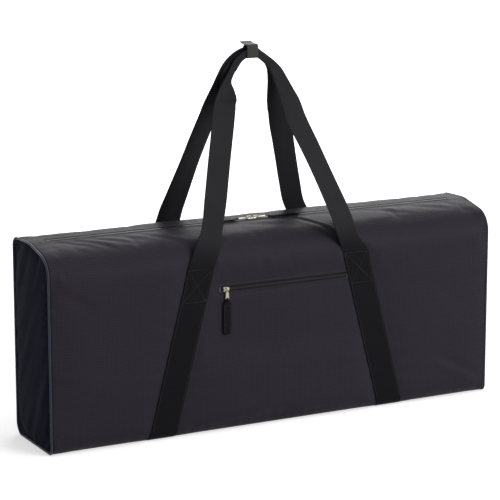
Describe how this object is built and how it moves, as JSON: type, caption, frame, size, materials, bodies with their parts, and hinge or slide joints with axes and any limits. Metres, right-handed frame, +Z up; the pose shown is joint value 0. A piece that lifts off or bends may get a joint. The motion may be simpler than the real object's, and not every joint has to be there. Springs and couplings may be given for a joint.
{
  "type": "portable pickleball net in its carry bag",
  "caption": "Zipped carry bag packed with a portable court net: webbing handles joined by a hook-and-loop wrap, top zip, front zip pocket, with frame tubes, feet and rolled net inside.",
  "frame": {"origin": "middle of the bag's base, on the surface it stands on", "axes": "+X along the bag, to the right as seen from its front; +Y from the front to the back; +Z up"},
  "size_m": [0.8798, 0.1638, 0.6783],
  "materials": {
    "ripstop_cloth": "thin plum-grey ripstop nylon with a fine raised grid",
    "base_board": "plain black stiffening board",
    "end_cloth": "smooth glossy dark navy coated cloth",
    "piping": "bluish grey corded edging",
    "webbing": "charcoal ribbed webbing",
    "zip_tape": "black woven zip tape",
    "zip_teeth": "black moulded zip teeth",
    "slider_metal": "polished nickel plate",
    "pull_webbing": "black narrow webbing",
    "pocket_lining": "thin dark lining",
    "wrap_cloth": "smooth purple-grey cloth",
    "hook_tape": "light grey hook tape",
    "loop_tape": "grey loop tape",
    "painted_tube": "satin black powder coat on steel tube",
    "spring_button": "bright zinc-plated snap buttons",
    "tube_plug": "black moulded plugs",
    "net_mesh": "rolled black knotless netting",
    "net_tie": "black hook-and-loop ties"
  },
  "bodies": {
    "bag": {"front_panel": "ripstop_cloth", "back_panel": "ripstop_cloth", "base_panel": "ripstop_cloth", "base_board": "base_board", "left_end_panel": "end_cloth", "right_end_panel": "end_cloth", "left_end_piping": "piping", "right_end_piping": "piping", "left_strap": "webbing", "right_strap": "webbing", "top_zip_tape_front": "zip_tape", "top_zip_tape_back": "zip_tape", "top_zip_teeth_front": "zip_teeth", "top_zip_teeth_back": "zip_teeth", "top_zip_end_stops": "slider_metal", "pocket_zip_tapes": "zip_tape", "pocket_zip_teeth_lower": "zip_teeth", "pocket_zip_teeth_upper": "zip_teeth", "pocket_end_stops": "slider_metal", "pocket_bag": "pocket_lining", "base_rails": "painted_tube", "rail_snap_buttons": "spring_button", "end_posts": "painted_tube", "centre_post": "painted_tube", "post_caps": "tube_plug", "end_feet": "painted_tube", "centre_foot": "painted_tube", "net_roll": "net_mesh", "net_ties": "net_tie"},
    "left_slider": {"left_slider": "slider_metal"},
    "left_link": {"left_slider_link": "slider_metal"},
    "left_tab": {"left_pull_tab": "pull_webbing"},
    "right_slider": {"right_slider": "slider_metal"},
    "right_link": {"right_slider_link": "slider_metal"},
    "right_tab": {"right_pull_tab": "pull_webbing"},
    "pocket_slider": {"pocket_slider": "slider_metal"},
    "pocket_link": {"pocket_slider_link": "slider_metal"},
    "pocket_tab": {"pocket_pull_tab": "pull_webbing"},
    "front_handle": {"front_handle": "webbing"},
    "back_handle": {"back_handle": "webbing", "wrap_sleeve": "wrap_cloth", "wrap_loop_patch": "loop_tape"},
    "wrap_flap": {"wrap_flap": "wrap_cloth", "wrap_hook_patch": "hook_tape"}
  },
  "joints": [
    {"name": "left_slider_slide", "type": "slide", "parent": "bag", "child": "left_slider", "axis": [-1, 0, 0], "range_m": [0, 0.378], "deforming": ["top_zip_teeth_front"]},
    {"name": "left_link_swing", "type": "hinge", "parent": "left_slider", "child": "left_link", "pos_m": [-0.01615, 0.012, 0.3583], "axis": [0, 1, 0], "range_deg": [0, 110]},
    {"name": "left_tab_swing", "type": "hinge", "parent": "left_link", "child": "left_tab", "pos_m": [-0.03615, 0.012, 0.3583], "axis": [0, 1, 0], "range_deg": [0, 65]},
    {"name": "right_slider_slide", "type": "slide", "parent": "bag", "child": "right_slider", "axis": [1, 0, 0], "range_m": [0, 0.392], "deforming": ["top_zip_teeth_back"]},
    {"name": "right_link_swing", "type": "hinge", "parent": "right_slider", "child": "right_link", "pos_m": [0.00215, 0.012, 0.3583], "axis": [0, -1, 0], "range_deg": [0, 110]},
    {"name": "right_tab_swing", "type": "hinge", "parent": "right_link", "child": "right_tab", "pos_m": [0.02215, 0.012, 0.3583], "axis": [0, -1, 0], "range_deg": [0, 65]},
    {"name": "pocket_slider_slide", "type": "slide", "parent": "bag", "child": "pocket_slider", "axis": [1, 0, 0], "range_m": [0, 0.232], "deforming": ["pocket_zip_teeth_lower", "pocket_zip_teeth_upper"]},
    {"name": "pocket_link_swing", "type": "hinge", "parent": "pocket_slider", "child": "pocket_link", "pos_m": [-0.10505, -0.08163, 0.256], "axis": [1, 0, 0], "range_deg": [-120, 0]},
    {"name": "pocket_tab_swing", "type": "hinge", "parent": "pocket_link", "child": "pocket_tab", "pos_m": [-0.10505, -0.08163, 0.239], "axis": [1, 0, 0], "range_deg": [-50, 0]},
    {"name": "front_handle_swing", "type": "hinge", "parent": "bag", "child": "front_handle", "pos_m": [0, -0.0796, 0.3003], "axis": [1, 0, 0], "range_deg": [0, 115]},
    {"name": "back_handle_swing", "type": "hinge", "parent": "bag", "child": "back_handle", "pos_m": [0, 0.0796, 0.3003], "axis": [-1, 0, 0], "range_deg": [0, 115]},
    {"name": "wrap_flap_swing", "type": "hinge", "parent": "back_handle", "child": "wrap_flap", "pos_m": [0, -0.0085, 0.6447], "axis": [1, 0, 0], "range_deg": [0, 150]}
  ]
}
